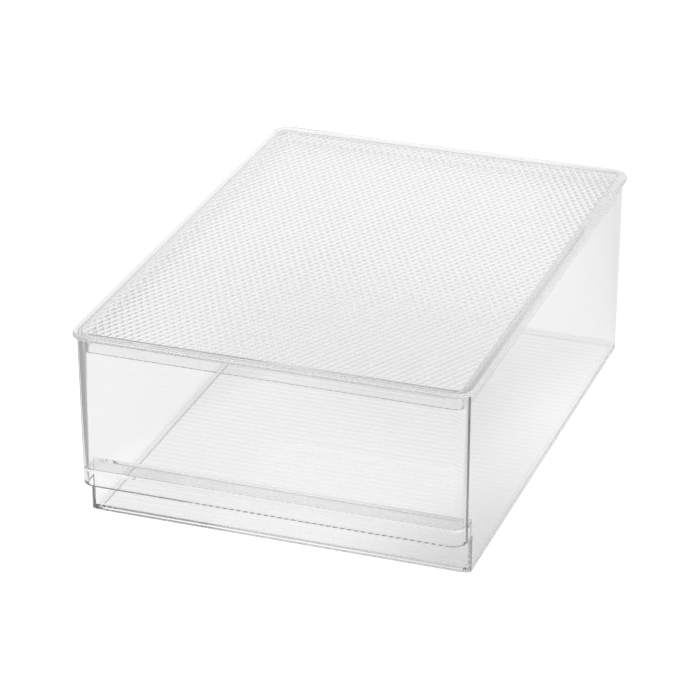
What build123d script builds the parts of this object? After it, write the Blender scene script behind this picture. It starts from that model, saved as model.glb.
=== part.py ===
from build123d import *
import os

os.makedirs("parts", exist_ok=True)

# Driving dimensions, in millimetres.
# +X is the width, the front faces -Y, +Z is up, and the foot stands on z = 0.
# The origin is under the middle of the lid, which is the widest piece.

# Heights, from the surface the bin stands on.
FOOT_H = 1.8          # foot ring below the walls' bottom edge
FLOOR_TOP = 3.9       # upper face of the floor
HOOK_Z = 21.9         # bottom edge of the front wall, the finger pull's edge
SHELF_UNDER = 28.8    # ceiling of the finger gap
SHELF_TOP = 31.1      # inner ledge over the finger gap
RIM_Z = 104.3         # bin's top edge, which carries the lid

# Bin, measured over the outside at its top edge.
BIN_W = 205.6
BIN_D = 295.2
BIN_R = 8.0           # vertical outer corners
WALL = 2.3
DRAFT = 0.00576       # lean of each wall, per millimetre of height
BASE_SETBACK = 13.3   # base front behind the front wall's plane at the top edge
BASE_R = 3.0          # vertical front corners of the base
FOOT_INSET = 2.6      # foot ring inside the base's outline
FOOT_T = 2.2          # width of the foot ring
EDGE_R = 0.6          # softened free edges of the bin
LEDGE_R = 1.0         # softened ledge edge, and the finger gap's ceiling
FLOOR_R = 1.2         # inside corner between the floor and the walls

# Lid.
LID_W = 210.0
LID_D = 300.0
LID_R = 10.4          # same centres as the bin's corners
LID_T = 2.8           # full height of the lid's edge
LID_EDGE_R = 0.9      # softened upper edge
RIM_BAND = 4.7        # smooth raised border around the textured field
FIELD_DROP = 0.8      # field below the border
SKIRT_DROP = 7.8      # plug skirt below the lid's underside
SKIRT_T = 1.8
SKIRT_GAP = 0.5       # skirt to bin wall, all round

# Values that follow from these.
FRONT = -BIN_D / 2
BASE_FRONT = FRONT + BASE_SETBACK
BACK = BIN_D / 2


def lean(z):
    """Inward lean of a wall at height z, from its place at the top edge."""
    return (RIM_Z - z) * DRAFT


# Bin: drafted walls, a floor, and a base set back under the front wall.
# The front wall's lower end hangs free as the finger pull.
with BuildPart() as bin_body:
    # outer block
    with BuildSketch(Plane.XY.offset(FOOT_H)):
        RectangleRounded(BIN_W - 2 * lean(FOOT_H), BIN_D - 2 * lean(FOOT_H), BIN_R)
    with BuildSketch(Plane.XY.offset(RIM_Z)):
        RectangleRounded(BIN_W, BIN_D, BIN_R)
    loft(ruled=True)
    # inside space, over the whole length
    with BuildSketch(Plane.XY.offset(FLOOR_TOP)):
        RectangleRounded(
            BIN_W - 2 * (WALL + lean(FLOOR_TOP)),
            BIN_D - 2 * (WALL + lean(FLOOR_TOP)),
            BIN_R - WALL,
        )
    with BuildSketch(Plane.XY.offset(RIM_Z)):
        RectangleRounded(BIN_W - 2 * WALL, BIN_D - 2 * WALL, BIN_R - WALL)
    loft(ruled=True, mode=Mode.SUBTRACT)
    # front block that becomes the ledge, the finger pull and the base's front wall
    with BuildSketch(Plane.XY.offset(FOOT_H)):
        RectangleRounded(BIN_W - 3.0, BIN_D - 3.0, BIN_R - 1.5)
        with Locations((0, BASE_FRONT + WALL)):
            Rectangle(BIN_W + 20, BIN_D, align=(Align.CENTER, Align.MIN), mode=Mode.SUBTRACT)
    extrude(amount=SHELF_TOP - FOOT_H)
    # set-back under the front wall, leaving the base with rounded front corners
    with BuildSketch(Plane.XY.offset(FOOT_H - 1)):
        with Locations((0, BASE_FRONT + BASE_R)):
            Rectangle(BIN_W + 20, BASE_SETBACK + 20, align=(Align.CENTER, Align.MAX))
        with Locations((0, BASE_FRONT)):
            RectangleRounded(
                BIN_W - 2 * lean(HOOK_Z) + 0.04,
                BIN_D,
                BASE_R,
                align=(Align.CENTER, Align.MIN),
                mode=Mode.SUBTRACT,
            )
    extrude(amount=HOOK_Z - FOOT_H + 1, mode=Mode.SUBTRACT)
    # finger gap behind the front wall
    with BuildSketch(Plane.XY.offset(HOOK_Z - 1)):
        RectangleRounded(
            BIN_W - 2 * (WALL + lean(HOOK_Z)),
            BIN_D - 2 * (WALL + lean(HOOK_Z)),
            BIN_R - WALL,
        )
        with Locations((0, BASE_FRONT)):
            Rectangle(BIN_W + 20, BIN_D, align=(Align.CENTER, Align.MIN), mode=Mode.SUBTRACT)
    extrude(amount=SHELF_UNDER - HOOK_Z + 1, mode=Mode.SUBTRACT)
    # foot ring
    with BuildSketch(Plane.XY):
        with Locations((0, (BASE_FRONT + FOOT_INSET + BACK - lean(0) - FOOT_INSET) / 2)):
            foot_w = BIN_W - 2 * (lean(0) + FOOT_INSET)
            foot_d = BACK - lean(0) - BASE_FRONT - 2 * FOOT_INSET
            RectangleRounded(foot_w, foot_d, BASE_R + 1.0)
            RectangleRounded(foot_w - 2 * FOOT_T, foot_d - 2 * FOOT_T, BASE_R - 1.0, mode=Mode.SUBTRACT)
    extrude(amount=FOOT_H + 1.0)
    # softened edges
    rim_edges = bin_body.edges().filter_by_position(Axis.Z, RIM_Z - 0.01, RIM_Z + 0.01)
    fillet(rim_edges, EDGE_R)
    pull_edges = bin_body.edges().filter_by_position(Axis.Z, HOOK_Z - 0.01, HOOK_Z + 0.01)
    fillet([e for e in pull_edges if e.center().Y < BASE_FRONT - 0.5], EDGE_R)
    ledge_edges = bin_body.edges().filter_by_position(Axis.Z, SHELF_TOP - 0.01, SHELF_TOP + 0.01)
    fillet([e for e in ledge_edges if abs(e.center().Y - BASE_FRONT - WALL) < 0.01 and e.length > 100], LEDGE_R)
    gap_edges = bin_body.edges().filter_by_position(Axis.Z, SHELF_UNDER - 0.01, SHELF_UNDER + 0.01)
    fillet(gap_edges, LEDGE_R)
    floor_edges = bin_body.edges().filter_by_position(Axis.Z, FLOOR_TOP - 0.01, FLOOR_TOP + 0.01)
    fillet(floor_edges, FLOOR_R)
bin_body.part.label = "bin"
export_step(bin_body.part, "parts/bin.step")

# Lid: a plate that overhangs the bin all round, with a smooth raised border,
# a lowered field, and a plug skirt that drops inside the bin's walls.
with BuildPart() as lid:
    with BuildSketch(Plane.XY.offset(RIM_Z)):
        RectangleRounded(LID_W, LID_D, LID_R)
    extrude(amount=LID_T)
    top_edges = lid.faces().sort_by(Axis.Z)[-1].edges()
    fillet(top_edges, LID_EDGE_R)
    with BuildSketch(Plane.XY.offset(RIM_Z + LID_T - FIELD_DROP)):
        RectangleRounded(LID_W - 2 * RIM_BAND, LID_D - 2 * RIM_BAND, LID_R - RIM_BAND)
    extrude(amount=FIELD_DROP + 1, mode=Mode.SUBTRACT)
    with BuildSketch(Plane.XY.offset(RIM_Z - SKIRT_DROP)):
        skirt_w = BIN_W - 2 * (WALL + SKIRT_GAP)
        skirt_d = BIN_D - 2 * (WALL + SKIRT_GAP)
        skirt_r = BIN_R - WALL - SKIRT_GAP
        RectangleRounded(skirt_w, skirt_d, skirt_r)
        RectangleRounded(skirt_w - 2 * SKIRT_T, skirt_d - 2 * SKIRT_T, skirt_r - SKIRT_T, mode=Mode.SUBTRACT)
    extrude(amount=SKIRT_DROP + 0.5)
lid.part.label = "lid"
export_step(lid.part, "parts/lid.step")

for piece in (bin_body.part, lid.part):
    box = piece.bounding_box()
    print(piece.label, "solids", len(piece.solids()), "valid", piece.is_valid, "volume", round(piece.volume, 1), box.min, box.max)
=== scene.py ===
import math

import bpy
import bmesh
import numpy as np
from mathutils import Matrix, Vector


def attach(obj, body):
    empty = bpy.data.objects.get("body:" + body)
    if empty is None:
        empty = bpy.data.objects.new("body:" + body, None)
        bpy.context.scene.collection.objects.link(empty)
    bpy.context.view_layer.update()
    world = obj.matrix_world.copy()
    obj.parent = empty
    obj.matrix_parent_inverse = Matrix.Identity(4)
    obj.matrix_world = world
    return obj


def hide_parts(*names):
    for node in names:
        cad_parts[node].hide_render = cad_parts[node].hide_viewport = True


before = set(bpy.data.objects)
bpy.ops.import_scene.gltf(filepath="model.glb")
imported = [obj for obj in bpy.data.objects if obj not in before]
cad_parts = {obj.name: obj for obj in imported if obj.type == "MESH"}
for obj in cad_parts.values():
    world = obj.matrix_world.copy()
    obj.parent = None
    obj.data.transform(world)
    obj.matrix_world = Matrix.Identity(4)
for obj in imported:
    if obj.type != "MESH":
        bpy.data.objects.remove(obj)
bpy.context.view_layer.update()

MM = 0.001
scene = bpy.context.scene

# ---------------------------------------------------------------- dimensions
# The same numbers as the solids, in millimetres. +X width, front to -Y, +Z up.
FOOT_H, FLOOR_TOP = 1.8, 3.9
HOOK_Z, SHELF_UNDER, SHELF_TOP = 21.9, 28.8, 31.1
RIM_Z = 104.3
BIN_W, BIN_D, BIN_R, WALL, DRAFT = 205.6, 295.2, 8.0, 2.3, 0.00576
BASE_SETBACK, BASE_R = 13.3, 3.0
FOOT_INSET, FOOT_T = 2.6, 2.2
LID_W, LID_D, LID_R, LID_T = 210.0, 300.0, 10.4, 2.8
RIM_BAND, FIELD_DROP = 4.7, 0.8
SKIRT_DROP, SKIRT_T, SKIRT_GAP = 7.8, 1.8, 0.5
SKIRT_Z = RIM_Z - SKIRT_DROP
FRONT, BACK = -BIN_D / 2, BIN_D / 2
BASE_FRONT = FRONT + BASE_SETBACK

# Looks that the solids leave out.
RIB_PITCH, RIB_W, RIB_H, RIB_MARGIN = 4.84, 2.6, 0.07, 3.0
DIA_X, DIA_Y, DIA_H = 4.075, 8.06, 0.22   # diamonds in the lid: width, length, height
SEAT_GAP = 0.1   # air between the lid and the rim it rests on


def lean(z):
    return (RIM_Z - z) * DRAFT


# ---------------------------------------------------------------- mesh helpers
def rrect(w, d, r, n=14, cx=0.0, cy=0.0):
    """Rounded rectangle outline, counter-clockwise, n segments per corner."""
    pts = []
    for sx, sy, a0 in ((1, 1, 0.0), (-1, 1, 90.0), (-1, -1, 180.0), (1, -1, 270.0)):
        px, py = cx + sx * (w / 2 - r), cy + sy * (d / 2 - r)
        for k in range(n + 1):
            a = math.radians(a0 + 90.0 * k / n)
            pts.append((px + r * math.cos(a), py + r * math.sin(a)))
    return pts


def mesh_object(name, verts, faces):
    me = bpy.data.meshes.new(name)
    me.from_pydata([(x * MM, y * MM, z * MM) for x, y, z in verts], [], faces)
    me.update()
    ob = bpy.data.objects.new(name, me)
    scene.collection.objects.link(ob)
    return ob


def prism(name, levels):
    """Closed solid through outlines with equal point counts: [(z, outline), ...] from the bottom up."""
    n = len(levels[0][1])
    verts = [(x, y, z) for z, pts in levels for x, y in pts]
    faces = [tuple(range(n - 1, -1, -1))]
    for k in range(len(levels) - 1):
        for i in range(n):
            j = (i + 1) % n
            faces.append((k * n + i, k * n + j, (k + 1) * n + j, (k + 1) * n + i))
    top = (len(levels) - 1) * n
    faces.append(tuple(range(top, top + n)))
    return mesh_object(name, verts, faces)


def combine(base, tool, operation):
    m = base.modifiers.new("cut", "BOOLEAN")
    m.operation, m.solver, m.object = operation, "EXACT", tool
    bake(base)
    old = tool.data
    bpy.data.objects.remove(tool)
    bpy.data.meshes.remove(old)


def bake(ob):
    """Applies the object's modifiers to its mesh."""
    dg = bpy.context.evaluated_depsgraph_get()
    me = bpy.data.meshes.new_from_object(ob.evaluated_get(dg), depsgraph=dg)
    old = ob.data
    ob.modifiers.clear()
    ob.data = me
    me.name = ob.name
    bpy.data.meshes.remove(old)


# ---------------------------------------------------------------- bin
def cut_back(outline, y_max):
    """Part of a convex outline in front of y_max."""
    out = []
    n = len(outline)
    for i in range(n):
        a, b = outline[i], outline[(i + 1) % n]
        if a[1] <= y_max:
            out.append(a)
        if (a[1] - y_max) * (b[1] - y_max) < 0:
            t = (y_max - a[1]) / (b[1] - a[1])
            out.append((a[0] + t * (b[0] - a[0]), y_max))
    return out


def make_bin():
    ob = prism("bin_clear", [
        (FOOT_H, rrect(BIN_W - 2 * lean(FOOT_H), BIN_D - 2 * lean(FOOT_H), BIN_R)),
        (RIM_Z, rrect(BIN_W, BIN_D, BIN_R)),
    ])
    inner = prism("t_inside", [
        (FLOOR_TOP, rrect(BIN_W - 2 * (WALL + lean(FLOOR_TOP)), BIN_D - 2 * (WALL + lean(FLOOR_TOP)), BIN_R - WALL)),
        (RIM_Z + 5, rrect(BIN_W - 2 * (WALL + lean(RIM_Z + 5)), BIN_D - 2 * (WALL + lean(RIM_Z + 5)), BIN_R - WALL)),
    ])
    combine(ob, inner, "DIFFERENCE")
    block = cut_back(rrect(BIN_W - 3.0, BIN_D - 3.0, BIN_R - 1.5), BASE_FRONT + WALL)
    combine(ob, prism("t_block", [(FOOT_H + 0.4, block), (SHELF_TOP, block)]), "UNION")
    # set-back under the front wall, with the base's rounded front corners left standing
    hw, far = BIN_W / 2 + 10, FRONT - 10
    bw = BIN_W / 2 - lean(HOOK_Z) + 0.02
    arc_r = [(bw - BASE_R + BASE_R * math.sin(a), BASE_FRONT + BASE_R - BASE_R * math.cos(a))
             for a in (math.radians(90.0 * (1 - k / 8)) for k in range(9))]
    arc_l = [(-x, y) for x, y in reversed(arc_r)]
    plan = [(-hw, far), (hw, far), (hw, BASE_FRONT + BASE_R)] + arc_r + arc_l + [(-hw, BASE_FRONT + BASE_R)]
    combine(ob, prism("t_setback", [(-5, plan), (HOOK_Z, plan)]), "DIFFERENCE")
    gap = cut_back(rrect(BIN_W - 2 * (WALL + lean(HOOK_Z)), BIN_D - 2 * (WALL + lean(HOOK_Z)), BIN_R - WALL), BASE_FRONT)
    combine(ob, prism("t_gap", [(HOOK_Z - 3, gap), (SHELF_UNDER, gap)]), "DIFFERENCE")
    # foot ring
    fw = BIN_W - 2 * (lean(0) + FOOT_INSET)
    fd = BACK - lean(0) - BASE_FRONT - 2 * FOOT_INSET
    fy = (BASE_FRONT + BACK - lean(0)) / 2
    ring = prism("t_foot", [(0, rrect(fw, fd, BASE_R + 1, 8, 0, fy)), (FOOT_H + 0.5, rrect(fw, fd, BASE_R + 1, 8, 0, fy))])
    hole = prism("t_hole", [(-5, rrect(fw - 2 * FOOT_T, fd - 2 * FOOT_T, BASE_R - 1, 8, 0, fy)),
                            (FOOT_H, rrect(fw - 2 * FOOT_T, fd - 2 * FOOT_T, BASE_R - 1, 8, 0, fy))])
    combine(ring, hole, "DIFFERENCE")
    combine(ob, ring, "UNION")
    return ob


def soften_bin(ob):
    """Rounds the free edges and the inside corners, then lays the floor's ribs."""
    me = ob.data
    bm = bmesh.new()
    bm.from_mesh(me)
    bmesh.ops.remove_doubles(bm, verts=bm.verts, dist=2e-6)
    bmesh.ops.dissolve_limit(bm, angle_limit=math.radians(0.4), verts=bm.verts, edges=bm.edges)
    lay = bm.edges.layers.float.get("bevel_weight_edge") or bm.edges.layers.float.new("bevel_weight_edge")
    for e in bm.edges:
        if len(e.link_faces) != 2 or e.calc_face_angle(0.0) < math.radians(40):
            continue
        z = (e.verts[0].co.z + e.verts[1].co.z) / 2 / MM
        convex = e.is_convex
        if abs(z - FLOOR_TOP) < 0.05:
            e[lay] = 0.2
        elif abs(z - HOOK_Z) < 0.05:
            e[lay] = 0.7
        elif not convex:
            e[lay] = 0.35
        elif abs(z - SHELF_TOP) < 0.05:
            e[lay] = 0.3
        elif z < FOOT_H + 0.1:
            e[lay] = 0.35
        else:
            e[lay] = 0.5
    bm.to_mesh(me)
    bm.free()
    b = ob.modifiers.new("soft", "BEVEL")
    b.limit_method, b.width, b.segments = "WEIGHT", 1.2 * MM, 4
    b.use_clamp_overlap, b.harden_normals, b.miter_outer = True, False, "MITER_SHARP"
    bake(ob)
    rows = []
    y0, y1 = BASE_FRONT + WALL + RIB_MARGIN, BACK - lean(4) - WALL - RIB_MARGIN
    count = int((y1 - y0) // RIB_PITCH)
    start = (y0 + y1) / 2 - RIB_PITCH * (count - 1) / 2
    half = BIN_W / 2 - lean(4) - WALL - RIB_MARGIN
    for k in range(count):
        y = start + k * RIB_PITCH
        rows.append((y, half))
    verts, faces = [], []
    n = 6
    for y, hx in rows:
        b0 = len(verts)
        for x, s in ((-hx, 0.0), (-hx + 0.8, 1.0), (hx - 0.8, 1.0), (hx, 0.0)):
            for k in range(n + 1):
                a = math.pi * k / n
                verts.append((x, y - RIB_W / 2 * math.cos(a), FLOOR_TOP - 0.06 + (RIB_H + 0.06) * math.sin(a) * s))
            verts.append((x, y + RIB_W / 2, FLOOR_TOP - 0.5))
            verts.append((x, y - RIB_W / 2, FLOOR_TOP - 0.5))
        m = n + 3
        for c in range(3):
            for k in range(m):
                j = (k + 1) % m
                faces.append((b0 + c * m + k, b0 + c * m + j, b0 + (c + 1) * m + j, b0 + (c + 1) * m + k))
        faces.append(tuple(b0 + k for k in range(m - 1, -1, -1)))
        faces.append(tuple(b0 + 3 * m + k for k in range(m)))
    ribs = mesh_object("t_ribs", verts, faces)
    rb = bmesh.new()
    rb.from_mesh(ribs.data)
    bmesh.ops.recalc_face_normals(rb, faces=rb.faces)
    rb.to_mesh(ribs.data)
    rb.free()
    combine(ob, ribs, "UNION")
    me = ob.data
    me.shade_smooth()
    me.set_sharp_from_angle(angle=math.radians(35))
    w = ob.modifiers.new("normals", "WEIGHTED_NORMAL")
    w.keep_sharp, w.weight = True, 80
    bake(ob)


bin_ob = make_bin()
soften_bin(bin_ob)


# ---------------------------------------------------------------- lid
def make_lid():
    """One closed skin: a field of diamonds on top, a raised border, the outer edge, the plug skirt and a flat underside."""
    hx, hy = LID_W / 2 - RIM_BAND - 0.3, LID_D / 2 - RIM_BAND - 0.3
    r = LID_R - RIM_BAND - 0.3
    step = 0.5
    nx, ny = int(round(2 * hx / step)), int(round(2 * hy / step))
    u, v = np.linspace(-hx, hx, nx + 1), np.linspace(-hy, hy, ny + 1)
    U, V = np.meshgrid(u, v, indexing="ij")
    X, Y = U.copy(), V.copy()
    # pull the square corners of the grid onto the rounded outline
    c = r + 3.0
    du, dv = hx - np.abs(U), hy - np.abs(V)
    near = (du < c) & (dv < c)
    m = np.minimum(du, dv)
    rr = r * (1 - m / c)
    d = np.abs(du - dv)
    on = near & (d < rr) & (rr > 1e-9)
    t = np.where(on, 1 - d / np.where(rr > 0, rr, 1), 0) * (math.pi / 4)
    ax = np.where(du <= dv, np.cos(t), np.sin(t))
    ay = np.where(du <= dv, np.sin(t), np.cos(t))
    cxp, cyp = hx - m - rr, hy - m - rr
    X = np.where(on, np.sign(U) * (cxp + rr * ax), X)
    Y = np.where(on, np.sign(V) * (cyp + rr * ay), Y)
    z0 = RIM_Z + LID_T - FIELD_DROP

    def relief(x, y):
        """Diamond pillows between two crossed sets of straight grooves, running out at the border."""
        h = np.full_like(x, DIA_H)
        for s in (1, -1):
            h = h * np.abs(np.sin(math.pi * (x / DIA_X + s * y / DIA_Y)))
        qx, qy = np.abs(x) - (hx - r), np.abs(y) - (hy - r)
        inset = r - np.hypot(np.maximum(qx, 0), np.maximum(qy, 0)) - np.minimum(np.maximum(qx, qy), 0)
        t = np.clip((inset - 0.2) / 1.0, 0, 1)
        return h * t * t * (3 - 2 * t)

    H = relief(X, Y)
    GX = (relief(X + 0.1, Y) - relief(X - 0.1, Y)) / 0.2
    GY = (relief(X, Y + 0.1) - relief(X, Y - 0.1)) / 0.2
    verts = [np.stack([X, Y, z0 + H], -1).reshape(-1, 3)]
    nrm = np.stack([-GX, -GY, np.ones_like(X)], -1).reshape(-1, 3)
    nrm /= np.linalg.norm(nrm, axis=1)[:, None]
    normals = [nrm]
    idx = np.arange((nx + 1) * (ny + 1)).reshape(nx + 1, ny + 1)
    quads = [np.stack([idx[:-1, :-1], idx[1:, :-1], idx[1:, 1:], idx[:-1, 1:]], -1).reshape(-1, 4)]
    # outline of the grid, counter-clockwise, with a direction and a place on any rounded outline
    loop = np.concatenate([idx[:-1, 0], idx[-1, :-1], idx[:0:-1, -1], idx[0, :0:-1]])
    lx, ly = X.reshape(-1)[loop], Y.reshape(-1)[loop]
    kx = np.clip(lx, -(hx - r), hx - r)
    ky = np.clip(ly, -(hy - r), hy - r)
    dx, dy = lx - kx, ly - ky
    ln = np.hypot(dx, dy)
    dx, dy = dx / ln, dy / ln
    fx, fy = kx / (hx - r), ky / (hy - r)

    def ring(w, dd, rad, z, nr, nz):
        x = fx * (w / 2 - rad) + dx * rad
        y = fy * (dd / 2 - rad) + dy * rad
        a = np.stack([x, y, np.full_like(x, z)], -1)
        b = np.stack([dx * nr, dy * nr, np.full_like(x, nz)], -1)
        return a, b

    top, bot = RIM_Z + LID_T, RIM_Z + SEAT_GAP
    prof = []   # (inset from the lid's outline, z, nr, nz), from the field outwards, down and back in

    def arc(ci, cz, rad, a0, a1, n, side=1):
        """Arc in the section: angle 0 points out, 90 up. side -1 is a hollow corner."""
        for k in range(n + 1):
            a = math.radians(a0 + (a1 - a0) * k / n)
            prof.append((ci - rad * math.cos(a), cz + rad * math.sin(a), side * math.cos(a), side * math.sin(a)))

    # hollow corner at the field, small step, border, outer edge
    arc(RIM_BAND + 0.3, z0 + 0.12, 0.12, -90, 0, 3, -1)
    prof[-1] = (RIM_BAND + 0.18, z0 + 0.12, -1.0, 0.0)
    arc(RIM_BAND - 0.02, top - 0.2, 0.2, 180, 90, 4)
    arc(0.9, top - 0.9, 0.9, 90, 0, 6)
    arc(0.4, bot + 0.4, 0.4, 0, -90, 4)
    edge = [ring(LID_W - 2 * i, LID_D - 2 * i, max(LID_R - i, 0.3), z, nr, nz) for i, z, nr, nz in prof[1:]]
    # skirt: outlines of its own
    so_w, so_d, so_r = BIN_W - 2 * (WALL + SKIRT_GAP), BIN_D - 2 * (WALL + SKIRT_GAP), BIN_R - WALL - SKIRT_GAP
    low = SKIRT_Z
    sk = []

    def skirt(i, z, nr, nz):
        sk.append(ring(so_w - 2 * i, so_d - 2 * i, so_r - i, z, nr, nz))

    def skirt_arc(ci, cz, rad, a0, a1, n, side=1):
        for k in range(n + 1):
            a = math.radians(a0 + (a1 - a0) * k / n)
            skirt(ci - rad * math.cos(a), cz + rad * math.sin(a), side * math.cos(a), side * math.sin(a))

    skirt_arc(-0.3, bot - 0.3, 0.3, 90, 180, 3, -1)
    skirt_arc(0.2, low + 0.2, 0.2, 0, -90, 4)
    skirt_arc(SKIRT_T - 0.2, low + 0.2, 0.2, -90, -180, 4)
    skirt_arc(SKIRT_T + 0.6, bot - 0.6, 0.6, 0, 90, 4, -1)
    rings = edge + sk
    nloop = len(loop)
    base = len(verts[0])
    prev = loop
    for a, b in rings:
        cur = np.arange(base, base + nloop)
        base += nloop
        verts.append(a)
        normals.append(b)
        nxt = np.roll(cur, -1)
        prv = np.roll(prev, -1)
        quads.append(np.stack([prev, cur, nxt, prv], -1))
        prev = cur
    V3 = np.concatenate(verts) * MM
    N3 = np.concatenate(normals)
    Q = np.concatenate(quads)
    me = bpy.data.meshes.new("lid_clear")
    nq = len(Q)
    me.vertices.add(len(V3))
    me.vertices.foreach_set("co", V3.astype(np.float32).ravel())
    cap = prev[::-1]
    me.loops.add(nq * 4 + len(cap))
    me.loops.foreach_set("vertex_index", np.concatenate([Q.ravel(), cap]).astype(np.int32))
    me.polygons.add(nq + 1)
    me.polygons.foreach_set("loop_start", np.concatenate([np.arange(nq) * 4, [nq * 4]]).astype(np.int32))
    me.update(calc_edges=True)
    me.validate()
    me.shade_smooth()
    me.normals_split_custom_set_from_vertices(N3.tolist())
    ob = bpy.data.objects.new("lid_clear", me)
    scene.collection.objects.link(ob)
    return ob


lid_ob = make_lid()


# ---------------------------------------------------------------- materials
def plastic(name, tint, rough_lo, rough_hi, wave, absorb, worn):
    """worn: heights in millimetres where the scuffed lower edge starts, where it begins to fade and where it ends
    in polish, and the edge's roughness."""
    mat = bpy.data.materials.new(name)
    mat.use_nodes = True
    nt = mat.node_tree
    nt.nodes.clear()
    out = nt.nodes.new("ShaderNodeOutputMaterial")
    bsdf = nt.nodes.new("ShaderNodeBsdfPrincipled")
    nt.links.new(bsdf.outputs["BSDF"], out.inputs["Surface"])
    bsdf.inputs["Transmission Weight"].default_value = 1.0
    bsdf.inputs["IOR"].default_value = 1.49
    pos = nt.nodes.new("ShaderNodeTexCoord")
    # faint cloudiness in the tint
    cloud = nt.nodes.new("ShaderNodeTexNoise")
    cloud.inputs["Scale"].default_value = 14.0
    cloud.inputs["Detail"].default_value = 2.0
    nt.links.new(pos.outputs["Object"], cloud.inputs["Vector"])
    ramp = nt.nodes.new("ShaderNodeValToRGB")
    ramp.color_ramp.elements[0].position, ramp.color_ramp.elements[1].position = 0.3, 0.7
    ramp.color_ramp.elements[0].color = (tint[0] * 0.988, tint[1] * 0.988, tint[2] * 0.988, 1)
    ramp.color_ramp.elements[1].color = (tint[0], tint[1], tint[2], 1)
    nt.links.new(cloud.outputs["Fac"], ramp.inputs["Fac"])
    nt.links.new(ramp.outputs["Color"], bsdf.inputs["Base Color"])
    # handling haze in the polish
    haze = nt.nodes.new("ShaderNodeTexNoise")
    haze.inputs["Scale"].default_value = 38.0
    haze.inputs["Detail"].default_value = 4.0
    nt.links.new(pos.outputs["Object"], haze.inputs["Vector"])
    span = nt.nodes.new("ShaderNodeMapRange")
    span.inputs["From Min"].default_value, span.inputs["From Max"].default_value = 0.35, 0.75
    span.inputs["To Min"].default_value, span.inputs["To Max"].default_value = rough_lo, rough_hi
    nt.links.new(haze.outputs["Fac"], span.inputs["Value"])
    height = nt.nodes.new("ShaderNodeSeparateXYZ")
    nt.links.new(pos.outputs["Object"], height.inputs["Vector"])
    scuff = nt.nodes.new("ShaderNodeMapRange")
    scuff.interpolation_type = "SMOOTHSTEP"
    scuff.inputs["From Min"].default_value, scuff.inputs["From Max"].default_value = worn[1] * MM, worn[2] * MM
    scuff.inputs["To Min"].default_value, scuff.inputs["To Max"].default_value = worn[3], 0.0
    nt.links.new(height.outputs["Z"], scuff.inputs["Value"])
    start = nt.nodes.new("ShaderNodeMapRange")
    start.inputs["From Min"].default_value, start.inputs["From Max"].default_value = worn[0] * MM, (worn[0] + 0.03) * MM
    nt.links.new(height.outputs["Z"], start.inputs["Value"])
    rubbed = nt.nodes.new("ShaderNodeMath")
    rubbed.operation = "MULTIPLY"
    nt.links.new(scuff.outputs["Result"], rubbed.inputs[0])
    nt.links.new(start.outputs["Result"], rubbed.inputs[1])
    rough = nt.nodes.new("ShaderNodeMath")
    rough.operation = "MAXIMUM"
    nt.links.new(span.outputs["Result"], rough.inputs[0])
    nt.links.new(rubbed.outputs["Value"], rough.inputs[1])
    nt.links.new(rough.outputs["Value"], bsdf.inputs["Roughness"])
    # slow waviness of the moulded faces
    flow = nt.nodes.new("ShaderNodeTexNoise")
    flow.inputs["Scale"].default_value = 22.0
    flow.inputs["Detail"].default_value = 1.0
    nt.links.new(pos.outputs["Object"], flow.inputs["Vector"])
    bump = nt.nodes.new("ShaderNodeBump")
    bump.inputs["Strength"].default_value = wave
    bump.inputs["Distance"].default_value = 0.001
    nt.links.new(flow.outputs["Fac"], bump.inputs["Height"])
    nt.links.new(bump.outputs["Normal"], bsdf.inputs["Normal"])
    # long paths inside the plastic, seen in its edges, come out darker
    depth = nt.nodes.new("ShaderNodeVolumeAbsorption")
    depth.inputs["Color"].default_value = (0.30, 0.31, 0.31, 1)
    depth.inputs["Density"].default_value = absorb
    nt.links.new(depth.outputs["Volume"], out.inputs["Volume"])
    return mat


bin_mat = plastic("clear_plastic_bin", (0.980, 0.980, 0.980), 0.0, 0.02, 0.004, 1.6, (-0.1, 0.2, 0.9, 0.18))
lid_mat = plastic("clear_plastic_lid", (0.976, 0.976, 0.976), 0.0, 0.03, 0.004, 0.8, (SKIRT_Z + 0.01, SKIRT_Z + 0.1, SKIRT_Z + 0.25, 0.35))
bin_ob.data.materials.clear()
bin_ob.data.materials.append(bin_mat)
lid_ob.data.materials.clear()
lid_ob.data.materials.append(lid_mat)
for node, mat in (("bin", bin_mat), ("lid", lid_mat)):
    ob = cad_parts[node]
    ob.data.materials.clear()
    ob.data.materials.append(mat)

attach(bin_ob, "bin")
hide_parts("bin")
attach(lid_ob, "lid")
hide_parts("lid")

# ---------------------------------------------------------------- floor
GROUND = -0.0003   # a hair of air under the foot ring


def plane(name, size):
    me = bpy.data.meshes.new(name)
    me.from_pydata([(x * size, y * size, GROUND) for x, y in ((-1, -1), (1, -1), (1, 1), (-1, 1))], [], [(0, 1, 2, 3)])
    ob = bpy.data.objects.new(name, me)
    scene.collection.objects.link(ob)
    mat = bpy.data.materials.new(name + "_paper")
    mat.use_nodes = True
    me.materials.append(mat)
    return ob, mat.node_tree


# the pale ground as the camera sees it
floor_ob, fn = plane("studio_floor", 6.0)
fb = fn.nodes["Principled BSDF"]
fb.inputs["Base Color"].default_value = (0.1, 0.1, 0.1, 1)
fb.inputs["Roughness"].default_value = 0.9
fb.inputs["Specular IOR Level"].default_value = 0.0
fb.inputs["Emission Color"].default_value = (1, 1, 1, 1)
fb.inputs["Emission Strength"].default_value = 1.0
for kind in ("diffuse", "glossy", "transmission"):
    setattr(floor_ob, "visible_" + kind, False)

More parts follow.
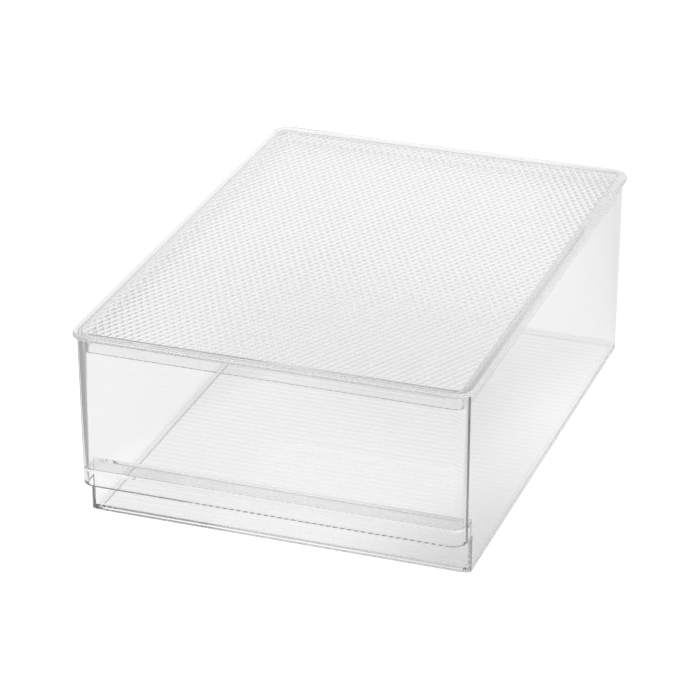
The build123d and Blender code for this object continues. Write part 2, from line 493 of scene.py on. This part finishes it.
# the same ground as the clear plastic sees it: a glowing table, not a lit one, with painted light in a bright strip
# under and behind the bin and painted shade in a dimmer belt round it
table_ob, tn = plane("studio_table_painted_light", 6.0)
table_ob.visible_camera = False
tb = tn.nodes["Principled BSDF"]
tb.inputs["Base Color"].default_value = (0.05, 0.05, 0.05, 1)
tb.inputs["Specular IOR Level"].default_value = 0.0
tb.inputs["Emission Strength"].default_value = 1.0
tc = tn.nodes.new("ShaderNodeTexCoord")
tm = tn.nodes.new("ShaderNodeMapping")
tm.vector_type = "TEXTURE"
tm.inputs["Rotation"].default_value = (0.0, 0.0, math.radians(19.4))
tn.links.new(tc.outputs["Object"], tm.inputs["Vector"])
ts = tn.nodes.new("ShaderNodeSeparateXYZ")
tn.links.new(tm.outputs["Vector"], ts.inputs["Vector"])


def edge(socket, lo, hi):
    """1 at lo, falling smoothly to 0 at hi."""
    m = tn.nodes.new("ShaderNodeMapRange")
    m.interpolation_type = "SMOOTHSTEP"
    m.inputs["From Min"].default_value, m.inputs["From Max"].default_value = lo, hi
    m.inputs["To Min"].default_value, m.inputs["To Max"].default_value = 1.0, 0.0
    tn.links.new(socket, m.inputs["Value"])
    return m.outputs["Result"]


# painted light: a bright strip of glow as wide as the bin, from just in front of it to the back wall, fading on the
# right
across = tn.nodes.new("ShaderNodeMapRange")
across.inputs["From Min"].default_value, across.inputs["From Max"].default_value = -0.55, 0.65
tn.links.new(ts.outputs["X"], across.inputs["Value"])
tg = tn.nodes.new("ShaderNodeValToRGB")
tg.color_ramp.interpolation = "EASE"
# glow levels for the painted shade in the belt and for the ground further out
PAINTED_SHADE, FAR = 0.38, 0.9
stops = [(-0.46, FAR), (-0.37, PAINTED_SHADE), (-0.192, PAINTED_SHADE), (-0.170, 1.0), (0.12, 1.0), (0.17, 0.8), (0.28, 0.8), (0.36, 0.7), (0.50, FAR)]
tg.color_ramp.elements.remove(tg.color_ramp.elements[1])
tg.color_ramp.elements[0].position, tg.color_ramp.elements[0].color = 0.0, (FAR, FAR, FAR, 1)
for x, v in stops:
    tg.color_ramp.elements.new((x + 0.55) / 1.2).color = (v, v, v, 1)
tn.links.new(across.outputs["Result"], tg.inputs["Fac"])


def times(first, second, operation="MULTIPLY"):
    m = tn.nodes.new("ShaderNodeMath")
    m.operation = operation
    tn.links.new(first, m.inputs[0])
    tn.links.new(second, m.inputs[1])
    return m.outputs["Value"]


# the painted shade of the dimmer belt on the left is a short patch beside the bin, and only a thin line behind that
beside = times(edge(ts.outputs["Y"], 0.10, 0.20), edge(ts.outputs["Y"], -0.31, -0.40))
away = tn.nodes.new("ShaderNodeMapRange")
away.inputs["To Min"].default_value, away.inputs["To Max"].default_value = FAR, 0.0
tn.links.new(beside, away.inputs["Value"])
lift = times(edge(ts.outputs["X"], -0.235, -0.205), away.outputs["Result"])
tx = tn.nodes.new("ShaderNodeMix")
tx.data_type = "RGBA"
# painted shade in front of the bin as well: the glow drops from the far level to the dim level near the bin
ahead = tn.nodes.new("ShaderNodeMapRange")
ahead.interpolation_type = "SMOOTHSTEP"
ahead.inputs["From Min"].default_value, ahead.inputs["From Max"].default_value = -0.60, -0.48
ahead.inputs["To Min"].default_value, ahead.inputs["To Max"].default_value = FAR, PAINTED_SHADE
tn.links.new(ts.outputs["Y"], ahead.inputs["Value"])
tn.links.new(ahead.outputs["Result"], tx.inputs["A"])
tn.links.new(edge(ts.outputs["Y"], -0.26, -0.37), tx.inputs["Factor"])
tn.links.new(times(tg.outputs["Color"], lift, "MAXIMUM"), tx.inputs["B"])
# painted shade: the table's glow falls to a darker level towards the front right
corner = tn.nodes.new("ShaderNodeMath")
corner.operation = "SUBTRACT"
tn.links.new(ts.outputs["X"], corner.inputs[0])
tn.links.new(ts.outputs["Y"], corner.inputs[1])
shade = tn.nodes.new("ShaderNodeMapRange")
shade.interpolation_type = "SMOOTHSTEP"
shade.inputs["From Min"].default_value, shade.inputs["From Max"].default_value = 0.10, 0.20
shade.inputs["To Min"].default_value, shade.inputs["To Max"].default_value = 1.0, 0.74
tn.links.new(corner.outputs["Value"], shade.inputs["Value"])
tl = tn.nodes.new("ShaderNodeVectorMath")
tl.operation = "SCALE"
tn.links.new(tx.outputs["Result"], tl.inputs["Vector"])
tn.links.new(shade.outputs["Result"], tl.inputs["Scale"])
# the painted light and painted shade above become the table's glow colour
tn.links.new(tl.outputs["Vector"], tb.inputs["Emission Color"])

# ---------------------------------------------------------------- light
world = bpy.data.worlds.new("studio")
scene.world = world
world.use_nodes = True
wn = world.node_tree
bg = wn.nodes["Background"]
bg.inputs["Strength"].default_value = 1.0
wc = wn.nodes.new("ShaderNodeTexCoord")
ws = wn.nodes.new("ShaderNodeSeparateXYZ")
wn.links.new(wc.outputs["Generated"], ws.inputs["Vector"])


def fade(socket, lo, hi):
    """0 at lo, 1 at hi, smooth between."""
    m = wn.nodes.new("ShaderNodeMapRange")
    m.interpolation_type = "SMOOTHSTEP"
    m.inputs["From Min"].default_value, m.inputs["From Max"].default_value = lo, hi
    wn.links.new(socket, m.inputs["Value"])
    return m.outputs["Result"]


# bright walls low down all round and a small bright patch overhead, darker between them
walls = fade(ws.outputs["Z"], 0.46, 0.36)
ceiling = fade(ws.outputs["Z"], 0.90, 0.985)
wmax = wn.nodes.new("ShaderNodeMath")
wmax.operation = "MAXIMUM"
wn.links.new(walls, wmax.inputs[0])
wn.links.new(ceiling, wmax.inputs[1])
wr = wn.nodes.new("ShaderNodeValToRGB")
wr.color_ramp.elements[0].color = (0.20, 0.20, 0.20, 1)
wr.color_ramp.elements[1].color = (1.0, 1.0, 1.0, 1)
wn.links.new(wmax.outputs["Value"], wr.inputs["Fac"])
wn.links.new(wr.outputs["Color"], bg.inputs["Color"])


def softbox(name, loc, target, sx, sy, power):
    li = bpy.data.lights.new(name, "AREA")
    li.shape, li.size, li.size_y, li.energy = "RECTANGLE", sx, sy, power
    ob = bpy.data.objects.new(name, li)
    scene.collection.objects.link(ob)
    ob.location = loc
    ob.rotation_mode = "QUATERNION"
    ob.rotation_quaternion = (Vector(target) - Vector(loc)).to_track_quat("-Z", "Y")
    return ob


softbox("key", (-0.9, 0.5, 1.5), (0, 0, 0.05), 1.0, 1.0, 4.0)

# ---------------------------------------------------------------- camera
AZ, EL, F_PX, CX, CY, DIST = 19.446, 25.642, 3152.175, 11.548, -0.577, 1681.252
a, e = math.radians(AZ), math.radians(EL)
B = Vector((math.sin(a) * math.cos(e), -math.cos(a) * math.cos(e), math.sin(e)))
R = Vector((math.cos(a), math.sin(a), 0))
Uv = B.cross(R)
T = Vector((0.0, -5.0, 50.0))
C = T + B * DIST - R * (CX * DIST / F_PX) + Uv * (CY * DIST / F_PX)
cam_data = bpy.data.cameras.new("photo_camera")
cam_data.sensor_fit = "HORIZONTAL"
cam_data.sensor_width = 36.0
cam_data.lens = F_PX / 700.0 * 36.0
cam_data.clip_start, cam_data.clip_end = 0.05, 50.0
cam = bpy.data.objects.new("photo_camera", cam_data)
scene.collection.objects.link(cam)
rot = Matrix((R, Uv, B)).transposed()
cam.matrix_world = Matrix.Translation(C * MM) @ rot.to_4x4()
scene.camera = cam

scene.view_settings.view_transform = "Standard"
# light runs a long way inside the walls and the base before it leaves them
scene.cycles.max_bounces = 512
scene.cycles.transmission_bounces = 512
scene.cycles.glossy_bounces = 512
